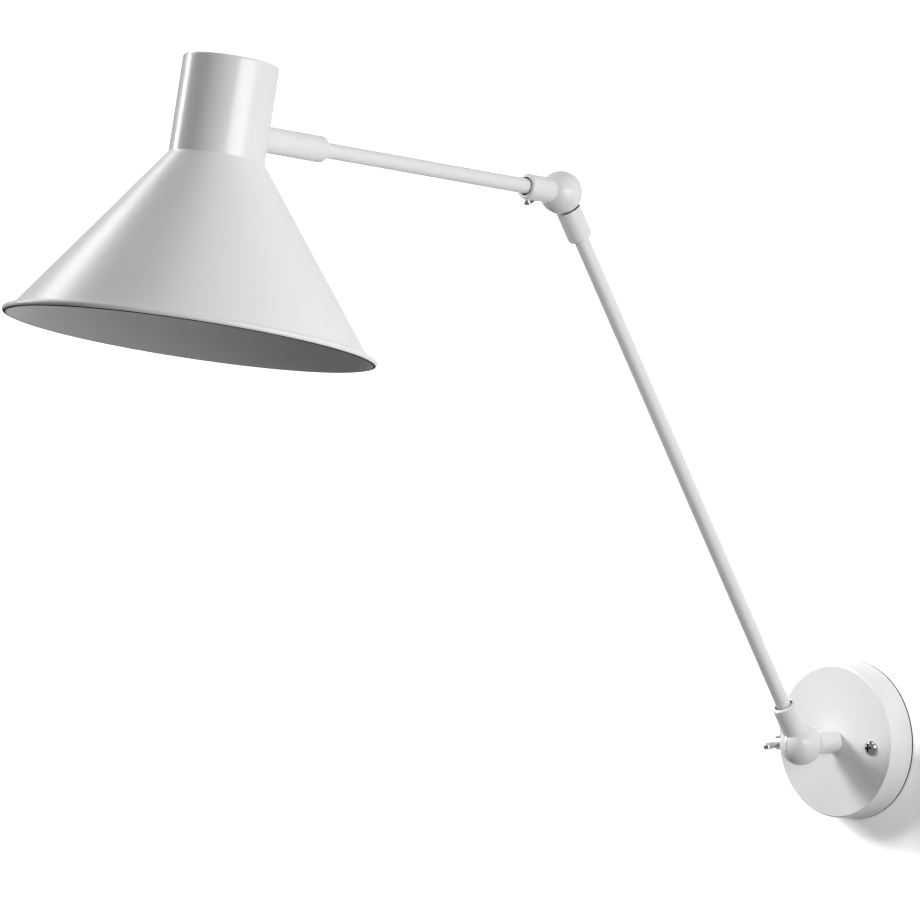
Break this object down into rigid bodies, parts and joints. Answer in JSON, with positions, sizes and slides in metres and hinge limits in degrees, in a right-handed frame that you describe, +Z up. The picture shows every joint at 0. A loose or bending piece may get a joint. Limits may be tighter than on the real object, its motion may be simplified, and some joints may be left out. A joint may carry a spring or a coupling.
{
  "type": "articulating wall lamp",
  "caption": "White wall lamp: round wall plate, slim arms jointed by clamped ball knuckles with wing screws, and a conical shade with a cylindrical neck that swivels on its arm.",
  "frame": {"origin": "centre of the wall plate's back, in the plane of the wall", "axes": "+Z up, +Y into the wall, the lamp reaches out along -Y; both knuckle axes are parallel to X"},
  "size_m": [0.2342, 0.7217, 0.5158],
  "materials": {
    "white_gloss": "white gloss paint",
    "white_satin": "white satin paint",
    "white_texture": "white fine-textured matte paint",
    "zinc_steel": "zinc-plated steel",
    "chrome": "polished chrome",
    "brass": "plain brass",
    "fibre": "dark pressed fibre",
    "holder_plastic": "white heat-resistant plastic",
    "terminal_plastic": "natural plastic"
  },
  "bodies": {
    "wall": {"wall_cover": "white_satin", "backplate": "zinc_steel", "backplate_pillars": "zinc_steel", "cover_screws": "chrome", "terminal_block": "terminal_plastic", "terminal_screws": "brass", "earth_screw": "brass", "swivel_stop_pin": "zinc_steel"},
    "stem": {"stem_knuckle_half": "white_gloss", "stem_nipple": "zinc_steel", "swivel_stop_washer": "zinc_steel", "swivel_spring_washer": "zinc_steel", "stem_nut": "zinc_steel", "base_wing_spring": "zinc_steel"},
    "lower_arm": {"base_arm_half": "white_gloss", "base_friction_ring": "fibre", "lower_arm_tube": "white_gloss", "elbow_lower_half": "white_gloss", "elbow_wing_spring": "zinc_steel"},
    "base_wing": {"base_wing_screw": "white_gloss"},
    "upper_arm": {"elbow_upper_half": "white_gloss", "elbow_friction_ring": "fibre", "upper_arm_tube": "white_gloss", "shade_swivel_washer": "zinc_steel", "upper_tube_nut": "zinc_steel"},
    "elbow_wing": {"elbow_wing_screw": "white_gloss"},
    "shade": {"shade_collar": "white_gloss", "shade_nipple": "zinc_steel", "shade_nut": "zinc_steel", "shade_neck": "white_satin", "shade_cone": "white_texture", "holder_strap": "zinc_steel", "holder_nut": "zinc_steel", "holder_nipple": "zinc_steel", "holder_cap": "holder_plastic", "holder_body": "holder_plastic", "holder_shell": "brass", "holder_contact": "brass"}
  },
  "joints": [
    {"name": "stem_swivel", "type": "hinge", "parent": "wall", "child": "stem", "pos_m": [0, -0.0195, 0], "axis": [0, -1, 0], "range_deg": [-160, 160]},
    {"name": "base_hinge", "type": "hinge", "parent": "stem", "child": "lower_arm", "pos_m": [0, -0.0526, 0], "axis": [1, 0, 0], "range_deg": [-34, 148]},
    {"name": "elbow_hinge", "type": "hinge", "parent": "lower_arm", "child": "upper_arm", "pos_m": [0, -0.2808, 0.37093], "axis": [1, 0, 0], "range_deg": [-155, 54]},
    {"name": "shade_swivel", "type": "hinge", "parent": "upper_arm", "child": "shade", "pos_m": [0, -0.4941, 0.40091], "axis": [0, -0.9903, 0.1392], "range_deg": [-160, 160]},
    {"name": "base_wing_turn", "type": "hinge", "parent": "lower_arm", "child": "base_wing", "pos_m": [0, -0.0526, 0], "axis": [-1, 0, 0], "range_deg": [0, 180]},
    {"name": "elbow_wing_turn", "type": "hinge", "parent": "upper_arm", "child": "elbow_wing", "pos_m": [0, -0.2808, 0.37093], "axis": [-1, 0, 0], "range_deg": [0, 180]}
  ]
}
